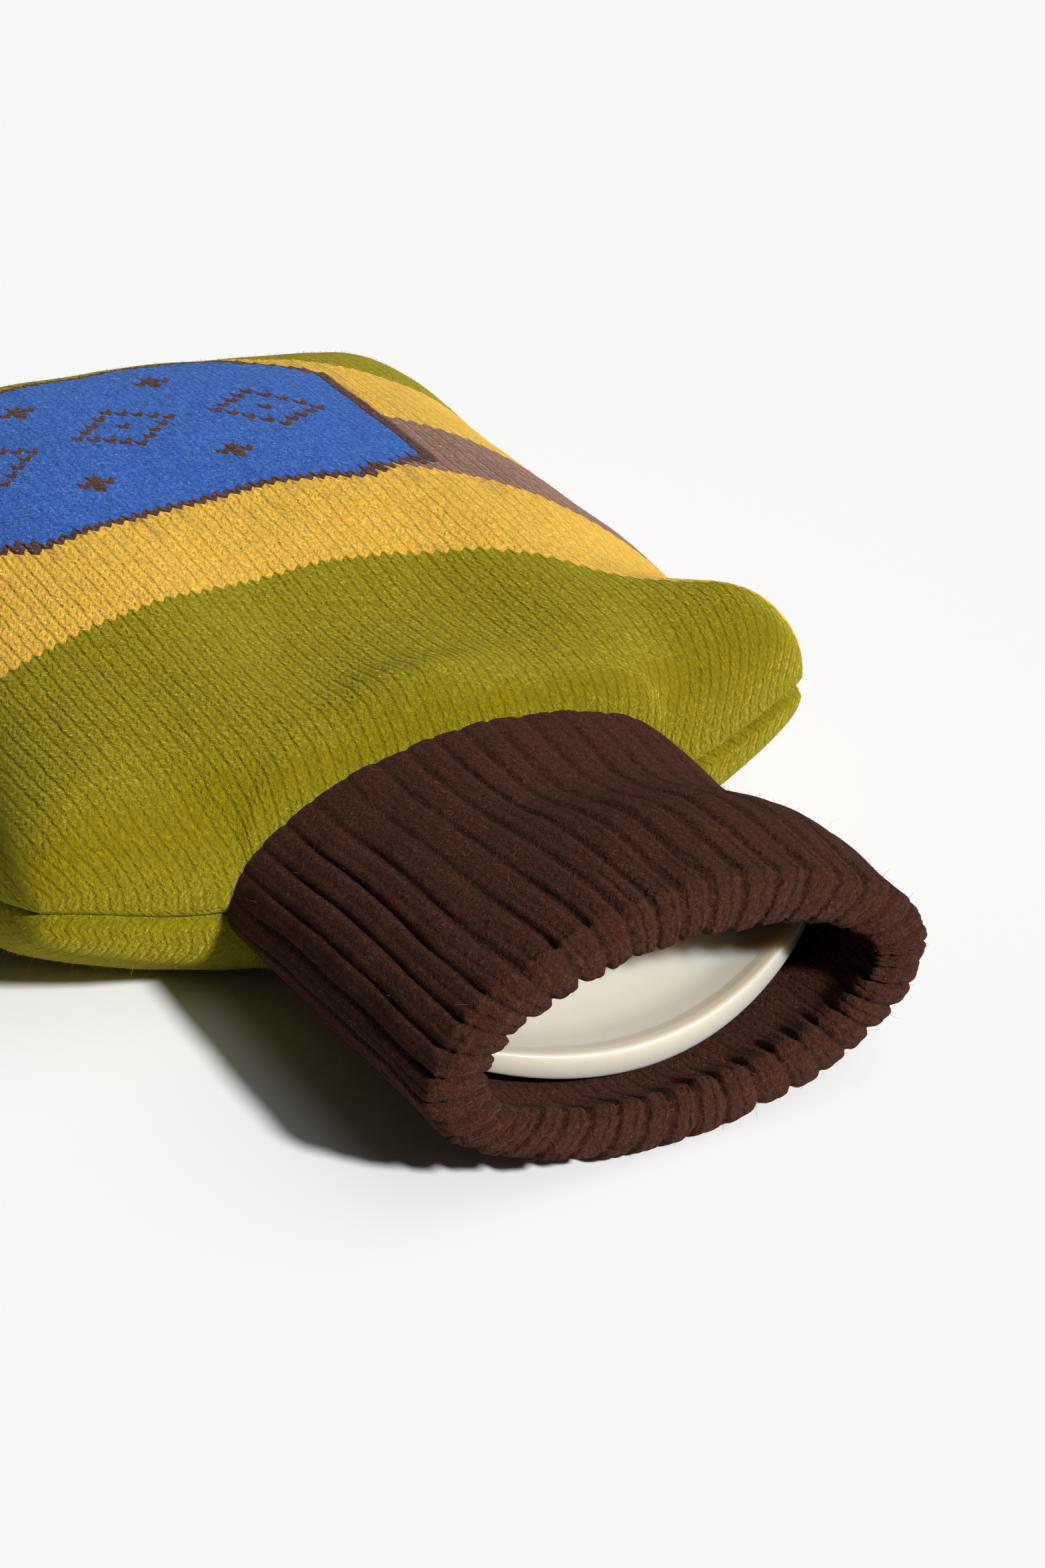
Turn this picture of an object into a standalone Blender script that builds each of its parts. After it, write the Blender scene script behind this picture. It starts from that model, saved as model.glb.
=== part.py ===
"""A hot water bottle in its knitted cover, lying on its back.

Metres, +Z up. The neck points to -Y, the origin is on the floor under the
middle of the whole length, and the back of the cover rests flat on Z = 0.
"""
import math

import bmesh
import bpy

for old in list(bpy.data.objects):
    bpy.data.objects.remove(old)

# The whole thing
LENGTH = 0.340                # lip of the turned-down neck to the far edge
MOUTH_Y = -LENGTH / 2
FAR_Y = LENGTH / 2 + 0.0018   # the far edge is drawn in from here
GAP = 0.0005                  # between pieces that touch

# The bag: a front and a back panel of felted stockinette
KNIT = 0.003                  # thickness of the cloth
SHOULDER_HALF_WIDTH = 0.1135  # middle line to a shoulder corner
FAR_HALF_WIDTH = 0.1110       # middle line to a far corner
SIDE_DRAWN_IN = 0.0108        # how far the filling pulls each side in
FAR_DRAWN_IN = 0.0080         # the same for the far edge
CORNER_Y = -0.0645            # the shoulder corners along the length
SHOULDER_Y = -0.0675          # the shoulders beside the neck, which is knitted on here
CORNER_ROUNDING = 0.045       # share that the corners lose to their rounding
SEAM_Z = 0.0190               # height of the side seam
CORNER_LIFT = 0.0160          # how much higher it stands at the shoulder corners
FRONT_CROWN = 0.0610          # rise of the front above the seam
BACK_DEPTH = 0.0390           # depth of the back below the seam, were there no floor
CREST = 0.30                  # where along the bag it is highest, from -1 to 1
ACROSS_POWER, ACROSS_ROOT = 2.9, 3.0
NEAR_POWER, NEAR_ROOT = 1.9, 3.0
FAR_POWER, FAR_ROOT = 3.0, 3.3
NECK_BLEND_ROOT = 2.1         # the near root over the neck, where the crown falls more gently
SEAM_TUCK = 0.0012            # depth of the groove that the seam pulls in
SEAM_GROOVE = 0.0024          # half height of that groove

# The neck: a tube of 2 x 2 rib, turned down over itself. Sizes of its inner face
# at the mouth and at the free edge of the turned-down layer
RIB_CLOTH = 0.0040            # thickness of one layer
LAYERS_APART = 0.0010
RIBS = 36
RIB_DEPTH = 0.0020            # ridge to valley
CUFF_EDGE_Y = -0.0690         # the free edge, over the shoulders
MOUTH_HALF_WIDTH, NECK_HALF_WIDTH = 0.0565, 0.0555
MOUTH_RISE, NECK_RISE = 0.0225, 0.0238    # from the middle line up
MOUTH_FALL, NECK_FALL = 0.0215, 0.0155    # and down
MOUTH_Z, NECK_Z = 0.0310, 0.0255
MOUTH_SQUARENESS, NECK_SQUARENESS = 1.9, 1.95
MOUTH_SLANT = 0.0090          # how much further back the upper lip stands
MOUTH_SKEW = -0.040           # how much further forward its +X side stands
LIP_ROLL = 0.0065             # how far the soft fold rolls inwards over the mouth
ROLL_LENGTH = 0.0170          # and how far back along the tube it does so

# The bottle
BOTTLE_ROOM = 0.0050          # from the cloth's outer face to the bottle's top and sides


def smooth(x):
    """An eased step from 0 to 1."""
    x = min(max(x, 0.0), 1.0)
    return x * x * (3 - 2 * x)


def mix(start, end, share):
    """A value part of the way from start to end."""
    return start + (end - start) * share


def bulge(x, power, root):
    """A pillow's rise from its edges at -1 and 1 to its crown at 0."""
    return max(0.0, 1 - abs(x) ** power) ** (1 / root)


def add_object(name, mesh, colour, roughness):
    """An object with its own plain material, in the part's collection."""
    obj = bpy.data.objects.new(name, mesh)
    parts.objects.link(obj)
    material = bpy.data.materials.new(name + "_material")
    material.use_nodes = True
    shader = material.node_tree.nodes["Principled BSDF"]
    shader.inputs["Base Color"].default_value = (*colour, 1)
    shader.inputs["Roughness"].default_value = roughness
    shader.inputs["Metallic"].default_value = 0.0
    mesh.materials.append(material)
    mesh.shade_smooth()
    mesh.set_sharp_from_angle(angle=math.radians(50))
    return obj


# ---------------------------------------------------------------- the bag

NECK_EDGE = NECK_HALF_WIDTH + RIB_CLOTH
NECK_COLUMN = NECK_EDGE / SHOULDER_HALF_WIDTH


def neck_share(u):
    """How far a place is from a shoulder corner (0) to the neck opening (1)."""
    return min(1.0, (1 - abs(u)) / (1 - NECK_COLUMN))


def outline(u, v, inset=0.0):
    """Plan of the bag. u runs across, v from the shoulders (-1) to the far edge (1)."""
    drawn_in = math.cos(v * math.pi / 2) ** 2
    half_width = mix(SHOULDER_HALF_WIDTH, FAR_HALF_WIDTH, (v + 1) / 2)
    half_width -= SIDE_DRAWN_IN * drawn_in + inset
    x = half_width * u * (1 - CORNER_ROUNDING * abs(v) ** 10 * abs(u) ** 4)
    half_length = ((FAR_Y - CORNER_Y) / 2 - inset) * (1 - CORNER_ROUNDING * abs(v) ** 7 * abs(u) ** 10)
    y = (FAR_Y + CORNER_Y) / 2 + half_length * v
    y -= FAR_DRAWN_IN * max(v, 0.0) ** 4 * math.cos(u * math.pi / 2) ** 2
    y -= (CORNER_Y - SHOULDER_Y) * smooth(neck_share(u)) * smooth(-v)
    return x, y


def seam_height(u, v):
    """The seam runs level, lifts at the shoulder corners and falls again to the neck's middle."""
    shoulder = smooth(-v * 2 - 1)
    return SEAM_Z + mix(CORNER_LIFT, NECK_Z - SEAM_Z, smooth(neck_share(u))) * shoulder


def fullness(u, v):
    """The crown of the filled bag over its plan, from 0 at the seam to 1."""
    across = bulge(u, ACROSS_POWER, ACROSS_ROOT)
    if v > CREST:
        return across * bulge((v - CREST) / (1 - CREST), FAR_POWER, FAR_ROOT)
    root = mix(NEAR_ROOT, NECK_BLEND_ROOT, smooth(1.5 * (1 - abs(u) / NECK_COLUMN)))
    return across * bulge((CREST - v) / (1 + CREST), NEAR_POWER, root)


def neck_arch(x, side, out):
    """How far the neck's section rises or falls at x, this far out from its inner face."""
    power = NECK_SQUARENESS
    reach = (NECK_RISE if side > 0 else NECK_FALL) + out
    return reach * max(0.0, 1 - abs(x / (NECK_HALF_WIDTH + out)) ** power) ** (1 / power)


def pillow_reach(u, v, side):
    """How far the filling pushes the front (side 1) or the back (side -1) off the seam."""
    return (FRONT_CROWN if side > 0 else BACK_DEPTH) * fullness(u, v)


def bag_reach(u, v, side):
    """The same with the shoulders drawn up to the neck."""
    neck = neck_arch(outline(u, v)[0], side, RIB_CLOTH) * (1 - fullness(u, v))
    return pillow_reach(u, v, side) + neck * smooth(-v * 2 - 1)


def across_steps():
    """The columns of a panel: one stands on each side of the neck opening."""
    middle = [NECK_COLUMN * math.sin(step * math.pi / 12) for step in range(-6, 7)]
    beside = [1 - (1 - NECK_COLUMN) * (1 - step / 5) ** 1.9 for step in range(1, 6)]
    return [-place for place in reversed(beside)] + middle + beside


def along_steps():
    """The rows of a panel, closer together where the cloth turns over at its ends."""
    return [math.copysign(1 - (1 - abs(step) / 10) ** 1.8, step) for step in range(-10, 11)]


COLUMNS = across_steps()
ROWS = along_steps()


def panel_point(column, row, side, inset):
    """A grid corner of a panel's outer face, or of its inner face one inset further in.

    The outermost ring of the grid is the seam, tucked into its groove.
    """
    u = COLUMNS[min(max(column, 1), len(COLUMNS)) - 1]
    v = ROWS[min(max(row, 1), len(ROWS)) - 1]
    seam = seam_height(u, v)
    if row <= 1 and abs(u) <= NECK_COLUMN + 1e-6:
        x = (NECK_EDGE - inset) * u / NECK_COLUMN
        y = outline(u, v)[1]
        return x, y, seam + side * max(GAP / 2, neck_arch(x, side, RIB_CLOTH - inset))
    if column in (0, len(COLUMNS) + 1) or row in (0, len(ROWS) + 1):
        return *outline(u, v, inset + SEAM_TUCK), seam + side * GAP / 2
    reach = bag_reach(u, v, side) + SEAM_GROOVE * (1 - fullness(u, v)) - inset
    z = seam + side * max(reach, SEAM_GROOVE / 2)
    return *outline(u, v, inset), max(z, inset)


def add_panel(name, side, colour):
    """A panel: its outer face as a grid, its inner face one cloth further in, and the edge."""
    across, along = len(COLUMNS) + 1, len(ROWS) + 1
    bm = bmesh.new()
    bmesh.ops.create_grid(bm, x_segments=across, y_segments=along, size=0.5)
    place = {}
    for vertex in bm.verts:
        place[vertex] = (round((vertex.co.x + 0.5) * across), round((vertex.co.y + 0.5) * along))
    rim = [edge.verts[:] for edge in bm.edges if edge.is_boundary]
    inner = bmesh.ops.duplicate(bm, geom=bm.verts[:] + bm.edges[:] + bm.faces[:])["vert_map"]
    for first, second in rim:
        bm.faces.new((first, second, inner[second], inner[first]))
    for vertex, (column, row) in place.items():
        vertex.co = panel_point(column, row, side, 0.0)
        inner[vertex].co = panel_point(column, row, side, KNIT)
    bmesh.ops.remove_doubles(bm, verts=bm.verts, dist=GAP / 30)
    bmesh.ops.recalc_face_normals(bm, faces=bm.faces)
    mesh = bpy.data.meshes.new(name)
    bm.to_mesh(mesh)
    bm.free()
    return add_object(name, mesh, colour, 0.95)


# ---------------------------------------------------------------- the neck

# The folded cloth seen from the side: rings of the tube, by the distance back
# from the lip and outwards from the tube's inner face
CUFF_WALL = 2 * RIB_CLOTH + LAYERS_APART
CUFF_LENGTH = CUFF_EDGE_Y - MOUTH_Y
TUBE_LENGTH = SHOULDER_Y - GAP - MOUTH_Y
LIP = CUFF_WALL / 2


def fold_rings():
    """The closed section of the folded cloth: back, out, and which way its ribs stand there."""
    rings = []
    for step in range(9):
        rings.append((CUFF_LENGTH + (LIP - CUFF_LENGTH) * step / 8, CUFF_WALL, 0, 1))
    for step in range(1, 5):
        turn = step * math.pi / 5
        back, out = math.sin(turn), math.cos(turn)
        rings.append((LIP - LIP * back, LIP + LIP * out, -back, out))
    for step in range(6):
        rings.append((LIP + (TUBE_LENGTH - LIP) * step / 5, 0.0, 0, -1))
    for step in range(4):
        rings.append((TUBE_LENGTH + (LIP - TUBE_LENGTH) * step / 3, RIB_CLOTH, 0, 0))
    rings.append((RIB_CLOTH, LIP, 0, 0))
    for step in range(6):
        rings.append((LIP + (CUFF_LENGTH - LIP) * step / 5, RIB_CLOTH + LAYERS_APART, 0, 0))
    return rings


def rib_height(turn):
    """Broad round ridges with narrow valleys between them."""
    return RIB_DEPTH * (math.sqrt(abs(math.cos(turn * RIBS / 2))) - 1)


def signed_power(x, power):
    """A power that keeps the sign."""
    return math.copysign(abs(x) ** power, x)


def neck_point(turn, back, out, ribs_back, ribs_out):
    """A point of the tube, flattened by lying down, round its middle line."""
    back += rib_height(turn) * ribs_back
    out += rib_height(turn) * ribs_out
    out -= LIP_ROLL * (1 - smooth(back / ROLL_LENGTH)) * (1 - out / CUFF_WALL)
    share = back / CUFF_LENGTH
    angle = turn + 0.07 * math.sin(2 * turn)
    power = 2 / mix(MOUTH_SQUARENESS, NECK_SQUARENESS, share)
    reach_across = mix(MOUTH_HALF_WIDTH, NECK_HALF_WIDTH, share) + out
    if math.sin(angle) > 0:
        reach_up = mix(MOUTH_RISE, NECK_RISE, share) + out
    else:
        reach_up = mix(MOUTH_FALL, NECK_FALL, share) + out
    x = reach_across * signed_power(math.cos(angle), power)
    y = MOUTH_Y + back + (MOUTH_SLANT * (math.sin(angle) + 1) / 2 + MOUTH_SKEW * x) * (1 - share)
    z = mix(MOUTH_Z, NECK_Z, share) + reach_up * signed_power(math.sin(angle), power)
    return x, y, z


def add_neck():
    """The ribbed tube: a torus whose section is the folded cloth."""
    rings = fold_rings()
    steps = RIBS * 4
    bpy.ops.mesh.primitive_torus_add(major_segments=steps, minor_segments=len(rings))
    torus = bpy.context.object
    mesh = torus.data
    mesh.name = "neck_rib"
    for index, vertex in enumerate(mesh.vertices):
        turn = 2 * math.pi * (index // len(rings)) / steps
        vertex.co = neck_point(turn, *rings[index % len(rings)])
    bpy.data.objects.remove(torus)
    return add_object("neck_rib", mesh, (0.045, 0.022, 0.016), 0.95)


# ---------------------------------------------------------------- the bottle

BOTTLE_SIDES = 32
BOTTLE_RINGS = 14
BODY_FROM, BODY_TO = 0.93, -0.66          # how far the body reaches along the bag

# Neck and collar, from the shoulders to the rim of the collar: y of the sides,
# half width, bottom, top, how far the middle stands forward of the sides, how
# far the sides rise, and the power that squares the section (1 is an ellipse)
NECK_STATIONS = (
    (-0.0800, 0.0360, 0.0160, 0.0440, 0.0000, 0.0000, 1.00),
    (-0.0950, 0.0340, 0.0160, 0.0430, 0.0000, 0.0000, 1.00),
    (-0.1080, 0.0345, 0.0155, 0.0425, 0.0010, 0.0010, 0.90),
    (-0.1165, 0.0385, 0.0148, 0.0380, 0.0030, 0.0028, 0.75),
    (-0.1230, 0.0430, 0.0137, 0.0290, 0.0062, 0.0055, 0.60),
    (-0.1290, 0.0472, 0.0130, 0.0210, 0.0100, 0.0082, 0.45),
    (-0.1340, 0.0492, 0.0126, 0.0176, 0.0122, 0.0095, 0.35),
    (-0.1358, 0.0500, 0.0122, 0.0171, 0.0127, 0.0099, 0.35),
    (-0.1366, 0.0503, 0.0119, 0.0190, 0.0130, 0.0101, 0.35),
    (-0.1388, 0.0505, 0.0119, 0.0190, 0.0132, 0.0104, 0.35),
    (-0.1396, 0.0501, 0.0126, 0.0182, 0.0132, 0.0104, 0.35),
)


def body_ring(v):
    """A ring of the bottle's body, held off the cloth by the room between them."""
    points = []
    for step in range(BOTTLE_SIDES):
        turn = 2 * math.pi * step / BOTTLE_SIDES
        u = math.cos(turn)
        side = math.copysign(1, math.sin(turn))
        x, y = outline(u, v, 2 * BOTTLE_ROOM)
        reach = max(0.0, pillow_reach(u, v, side) - BOTTLE_ROOM) * abs(math.sin(turn)) ** 0.2
        points.append((x, y, max(BOTTLE_ROOM, seam_height(u, v) + side * reach)))
    return points


def neck_ring(y, half_width, bottom, top, forward, rise, power):
    """A ring of the neck or of the collar, whose rim is an arc in plan."""
    points = []
    for step in range(BOTTLE_SIDES):
        turn = 2 * math.pi * step / BOTTLE_SIDES
        across = math.cos(turn)
        x = half_width * across
        z = (bottom + top) / 2 + (top - bottom) / 2 * signed_power(math.sin(turn), power)
        points.append((x, y - forward * (1 - across ** 2), z + rise * across ** 2))
    return points


def add_bottle():
    """One moulding: the full body, its neck and the dished collar with a beaded rim."""
    steps = [step / BOTTLE_RINGS for step in range(BOTTLE_RINGS + 1)]
    rings = [body_ring(mix(BODY_FROM, BODY_TO, step)) for step in steps]
    rings += [neck_ring(*station) for station in NECK_STATIONS]
    bm = bmesh.new()
    loops = [[bm.verts.new(point) for point in ring] for ring in rings]
    for first, second in zip(loops, loops[1:]):
        for step in range(BOTTLE_SIDES):
            after = (step + 1) % BOTTLE_SIDES
            bm.faces.new((first[step], first[after], second[after], second[step]))
    for loop in (loops[0], loops[-1]):
        for step in range(BOTTLE_SIDES // 2):
            corners = (loop[step], loop[step + 1], loop[-step - 1], loop[-step])
            bm.faces.new(dict.fromkeys(corners))
    bmesh.ops.recalc_face_normals(bm, faces=bm.faces)
    mesh = bpy.data.meshes.new("bottle")
    bm.to_mesh(mesh)
    bm.free()
    return add_object("bottle", mesh, (0.80, 0.76, 0.66), 0.35)


parts = bpy.data.collections.new("hot_water_bottle_cover")
bpy.context.scene.collection.children.link(parts)
add_panel("front_panel", 1, (0.26, 0.24, 0.03))
add_panel("back_panel", -1, (0.26, 0.24, 0.03))
add_neck()
add_bottle()
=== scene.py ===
import math
import random

import bmesh
import bpy
from mathutils import Matrix, Vector, noise


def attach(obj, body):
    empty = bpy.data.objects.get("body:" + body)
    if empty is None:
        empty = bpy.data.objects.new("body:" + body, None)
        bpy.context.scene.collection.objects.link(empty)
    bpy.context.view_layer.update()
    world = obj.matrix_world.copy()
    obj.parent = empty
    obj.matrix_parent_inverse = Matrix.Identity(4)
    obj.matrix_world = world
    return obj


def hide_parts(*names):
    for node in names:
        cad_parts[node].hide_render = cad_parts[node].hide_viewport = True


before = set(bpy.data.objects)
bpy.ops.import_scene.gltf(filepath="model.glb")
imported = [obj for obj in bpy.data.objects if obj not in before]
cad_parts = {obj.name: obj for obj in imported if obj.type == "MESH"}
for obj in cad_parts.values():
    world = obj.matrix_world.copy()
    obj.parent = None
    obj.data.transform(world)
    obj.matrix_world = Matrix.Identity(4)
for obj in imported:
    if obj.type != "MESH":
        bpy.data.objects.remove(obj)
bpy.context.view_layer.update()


# ---------------------------------------------------------------- camera
# A long lens looks down on the neck end from its left, so that the far left
# of the bag runs out of the picture, as in the photograph.

VIEW_FROM = Vector((-0.330182, -0.607059, 0.413788))
VIEW_AZIMUTH, VIEW_ELEVATION, VIEW_ROLL = (math.radians(a) for a in (-32.749, 30.410, 0.983))

right = Vector((math.cos(VIEW_AZIMUTH), math.sin(VIEW_AZIMUTH), 0))
backwards = Vector((math.sin(VIEW_AZIMUTH) * math.cos(VIEW_ELEVATION),
                    -math.cos(VIEW_AZIMUTH) * math.cos(VIEW_ELEVATION), math.sin(VIEW_ELEVATION)))
up = backwards.cross(right)
rolled_right = right * math.cos(VIEW_ROLL) + up * math.sin(VIEW_ROLL)
rolled_up = up * math.cos(VIEW_ROLL) - right * math.sin(VIEW_ROLL)
turned = Matrix((rolled_right, rolled_up, backwards)).transposed().to_4x4()
lens = bpy.data.cameras.new("camera")
lens.sensor_fit = "VERTICAL"
lens.sensor_height = 36
lens.lens = 69.82
camera = bpy.data.objects.new("camera", lens)
camera.matrix_world = Matrix.Translation(VIEW_FROM) @ turned
bpy.context.scene.collection.objects.link(camera)
bpy.context.scene.camera = camera


# ---------------------------------------------------------------- the front panel
# Felted lambswool stockinette, crowned over the full bottle and linked to the back all
# round. It is knitted in stripes, with a blue medallion knitted in.

KNIT = 0.003
SHOULDER_HALF_WIDTH, FAR_HALF_WIDTH = 0.1135, 0.1110
SIDE_DRAWN_IN, FAR_DRAWN_IN = 0.0108, 0.0080
CORNER_Y, SHOULDER_Y, FAR_Y = -0.0645, -0.0675, 0.1718
CORNER_ROUNDING = 0.045
SEAM_Z, CORNER_LIFT, NECK_Z = 0.0190, 0.0160, 0.0255
FRONT_CROWN, BACK_DEPTH = 0.0610, 0.0390
CREST = 0.30                            # how far along the bag is fullest, as v
NECK_HALF_WIDTH, NECK_RISE, NECK_FALL, NECK_SQUARENESS = 0.0555, 0.0238, 0.0155, 1.95
RIB_CLOTH = 0.0040
NECK_COLUMN = (NECK_HALF_WIDTH + RIB_CLOTH) / SHOULDER_HALF_WIDTH
NECK_TUCK = 0.002                       # how far the cloth runs on under the cuff
# Behind the cuff the neck's arch is first blurred and then spreads into a soft hump
ARCH_BLUR, HUMP_HALF_WIDTH = 0.012, 0.080
BLURRED_AFTER, HUMP_AFTER = 0.08, 0.16  # how far along the bag, as v
# The cloth turns over into the seam in three small steps: inset, height over the seam
SEAM_STEPS = ((0.0036, 0.0001), (0.0015, 0.00015), (0.0006, 0.0013))
SEAM_LIP = 0.0029
# Swells of the front: height, middle x and y, and how far they reach in x and y. The
# last three are taken off its height, so that the corner's is under 0.
CUFF_ROLL = (0.0036, -0.004, -0.054, 0.026, 0.009)
FAR_DIP = (0.0080, 0.050, 0.158, 0.040, 0.030)
SHOULDER_DIP = (0.0040, 0.090, -0.016, 0.020, 0.015)
FULL_CORNER = (-0.0055, 0.098, -0.050, 0.018, 0.015)
WALE, COURSE = 0.00335, 0.0028          # width and height of one stitch
STRIPE_BEND, BEND_FROM = 0.045, 0.087   # how far the rows sag to the neck on the +X side


def smooth(x):
    """A soft step: 0 up to 0, and 1 from 1 on."""
    x = min(max(x, 0.0), 1.0)
    return x * x * (3 - 2 * x)


def mix(start, end, share):
    """The value at a share of the way from start to end."""
    return start + (end - start) * share


def bulge(x, power, root):
    """A rounded rise from 0 at the ends, -1 and 1, to 1 in the middle."""
    return max(0.0, 1 - abs(x) ** power) ** (1 / root)


def neck_share(u):
    """1 across the neck, falling to 0 at the bag's sides."""
    return min(1.0, (1 - abs(u)) / (1 - NECK_COLUMN))


def outline(u, v, inset=0.0):
    """The plan of the bag: u runs across and v along it, each from -1 to 1."""
    half_width = mix(SHOULDER_HALF_WIDTH, FAR_HALF_WIDTH, (v + 1) / 2)
    half_width -= SIDE_DRAWN_IN * math.cos(v * math.pi / 2) ** 2 + inset
    x = half_width * u * (1 - CORNER_ROUNDING * abs(v) ** 10 * abs(u) ** 4)
    half_length = ((FAR_Y - CORNER_Y) / 2 - inset) * (1 - CORNER_ROUNDING * abs(v) ** 7 * abs(u) ** 10)
    y = (FAR_Y + CORNER_Y) / 2 + half_length * v
    y -= FAR_DRAWN_IN * max(v, 0.0) ** 4 * math.cos(u * math.pi / 2) ** 2
    y -= (CORNER_Y - SHOULDER_Y) * smooth(neck_share(u)) * smooth(-v)
    return x, y


def seam_height(u, v):
    """The height of the seam, which rises at the shoulder's corners and across the neck."""
    shoulder = smooth(-v * 2 - 1)
    return SEAM_Z + mix(CORNER_LIFT, NECK_Z - SEAM_Z, smooth(neck_share(u))) * shoulder


def fullness(u, v):
    """How much of the full depth the filled bag has at a place of its plan."""
    across = bulge(u, 2.9, 3.0)
    if v > CREST:
        return across * bulge((v - CREST) / (1 - CREST), 3.0, 3.3)
    root = mix(3.0, 2.1, smooth(1.5 * (1 - abs(u) / NECK_COLUMN)))
    return across * bulge((CREST - v) / (1 + CREST), 1.9, root)


def neck_arch(x, side, out):
    """How far the neck's section reaches up or down at x, a distance out from its inner face."""
    reach = (NECK_RISE if side > 0 else NECK_FALL) + out
    return reach * bulge(x / (NECK_HALF_WIDTH + out), NECK_SQUARENESS, NECK_SQUARENESS)


def swell(x, y, height, middle_x, middle_y, across, along):
    """A soft round swell of the cloth, or with a height under 0 a dip."""
    return height * math.exp(-((x - middle_x) / across) ** 2 - ((y - middle_y) / along) ** 2)


def front_dips(x, y):
    """How far the front sinks at its far end, and behind its full right corner."""
    return sum(swell(x, y, *dip) for dip in (FAR_DIP, SHOULDER_DIP, FULL_CORNER))


def ease_out(t, power):
    """An even step from -1 to 1, made finer towards both ends."""
    return math.copysign(1 - (1 - abs(t)) ** power, t)


def bag_point(column, row, columns, rows, side):
    """A point of the cloth, by its column and row in the panel's fine grid."""
    rim = min(column, row, columns - column, rows - row)
    last = len(SEAM_STEPS)
    s = (min(max(column, last), columns - last) - last) / (columns - 2 * last) * 2 - 1
    t = (min(max(row, last), rows - last) - last) / (rows - 2 * last) * 2 - 1
    u, v = ease_out(s, 1.6), ease_out(t, 1.7)
    seam = seam_height(u, v)
    if row <= last and abs(u) <= NECK_COLUMN:
        rise = max(0.0002, neck_arch(u * SHOULDER_HALF_WIDTH, side, RIB_CLOTH))
        y = outline(u, v)[1] - NECK_TUCK * (last - row) / last
        return u * SHOULDER_HALF_WIDTH, y, seam + side * rise
    if rim < last:
        inset, lift = SEAM_STEPS[rim]
        return *outline(u, v, inset), seam + side * lift
    x, y = outline(u, v)
    full = fullness(u, v)
    reach = FRONT_CROWN * full if side > 0 else BACK_DEPTH * full
    hump = neck_arch(0.0, side, RIB_CLOTH) * math.cos(min(1.0, abs(x) / HUMP_HALF_WIDTH) * math.pi / 2) ** 2
    blur = ARCH_BLUR * smooth((v + 1) / BLURRED_AFTER)
    arch = sum(neck_arch(x + k * blur, side, RIB_CLOTH) for k in (-1, -0.5, 0, 0.5, 1)) / 5
    arch = mix(arch, hump, smooth((v + 1) / HUMP_AFTER))
    reach += arch * (1 - full) * smooth(-v * 2 - 1) + SEAM_LIP * (1 - full)
    if side > 0:
        # the cloth lies in a soft roll over the turned-down edge
        reach += swell(x, y, *CUFF_ROLL)
        reach -= front_dips(x, y) * min(1.0, full * 2)
    # soft lumps and small ones, under 2 mm together
    lumps = noise.noise(Vector((x * 28, y * 28, side * 3.7))) * 0.0011
    lumps += noise.noise(Vector((x * 75, y * 75, side * 9.1))) * 0.0004
    z = seam + side * (reach + lumps * min(1.0, full * 3))
    return x, y, max(z, 0.0)


def knit_sheet(name, columns, rows, place, stitch):
    """A grid of cloth: each point goes to its place, and the stitch counts go to its UV map."""
    bm = bmesh.new()
    bmesh.ops.create_grid(bm, x_segments=columns, y_segments=rows, size=0.5)
    knit = bm.loops.layers.uv.new("knit")
    counts = {}
    for vertex in bm.verts:
        counts[vertex] = (round((vertex.co.x + 0.5) * columns), round((vertex.co.y + 0.5) * rows))
    for face in bm.faces:
        for loop in face.loops:
            loop[knit].uv = stitch(*counts[loop.vert])
    for vertex, (column, row) in counts.items():
        vertex.co = place(column, row)
    bmesh.ops.remove_doubles(bm, verts=bm.verts, dist=1e-6)
    bmesh.ops.recalc_face_normals(bm, faces=bm.faces)
    mesh = bpy.data.meshes.new(name)
    bm.to_mesh(mesh)
    bm.free()
    mesh.shade_smooth()
    piece = bpy.data.objects.new(name, mesh)
    bpy.context.scene.collection.objects.link(piece)
    return piece


def add_panel(name, side, columns, rows):
    """The cloth of one panel, with its stitches counted along the cloth itself."""
    points = [[Vector(bag_point(c, r, columns, rows, side)) for c in range(columns + 1)]
              for r in range(rows + 1)]
    middle = columns // 2
    across = []
    for line in points:
        steps = [0.0]
        for first, second in zip(line, line[1:]):
            steps.append(steps[-1] + (second - first).length)
        across.append([(step - steps[middle]) / WALE for step in steps])
    along = [[0.0] * (columns + 1)]
    for first, second in zip(points, points[1:]):
        along.append([so_far + (b - a).length for so_far, a, b in zip(along[-1], first, second)])
    # the stitches are counted along each column, so that they run level across at y = 0
    level = min(range(rows), key=lambda r: abs(points[r][middle].y))

    def stitch(c, r):
        bend = STRIPE_BEND * (max(points[r][c].x, 0.0) / BEND_FROM) ** 1.82
        length = along[level][middle] + along[r][c] - along[level][c]
        return across[r][c], (length + bend) / COURSE

    piece = knit_sheet(name, columns, rows, lambda c, r: points[r][c], stitch)
    cloth = piece.modifiers.new("cloth", "SOLIDIFY")
    cloth.thickness = KNIT
    cloth.offset = -1
    return piece


def node(tree, kind, inputs=(), **settings):
    """One shader node, with its inputs set or linked by name or place."""
    made = tree.nodes.new(kind)
    for key, value in settings.items():
        setattr(made, key, value)
    for key, value in dict(inputs).items():
        if isinstance(value, bpy.types.NodeSocket):
            tree.links.new(value, made.inputs[key])
        else:
            made.inputs[key].default_value = value
    return made


def sum_up(tree, operation, *values):
    """A Math node's result."""
    return node(tree, "ShaderNodeMath", enumerate(values), operation=operation).outputs[0]


def vector_sum(tree, operation, *values):
    """A Vector Math node's result."""
    return node(tree, "ShaderNodeVectorMath", enumerate(values), operation=operation).outputs[0]


def tinted(tree, colour, factor):
    """A colour made lighter or darker, or a vector made longer or shorter."""
    return node(tree, "ShaderNodeVectorMath", {0: colour, "Scale": factor}, operation="SCALE").outputs[0]


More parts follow.
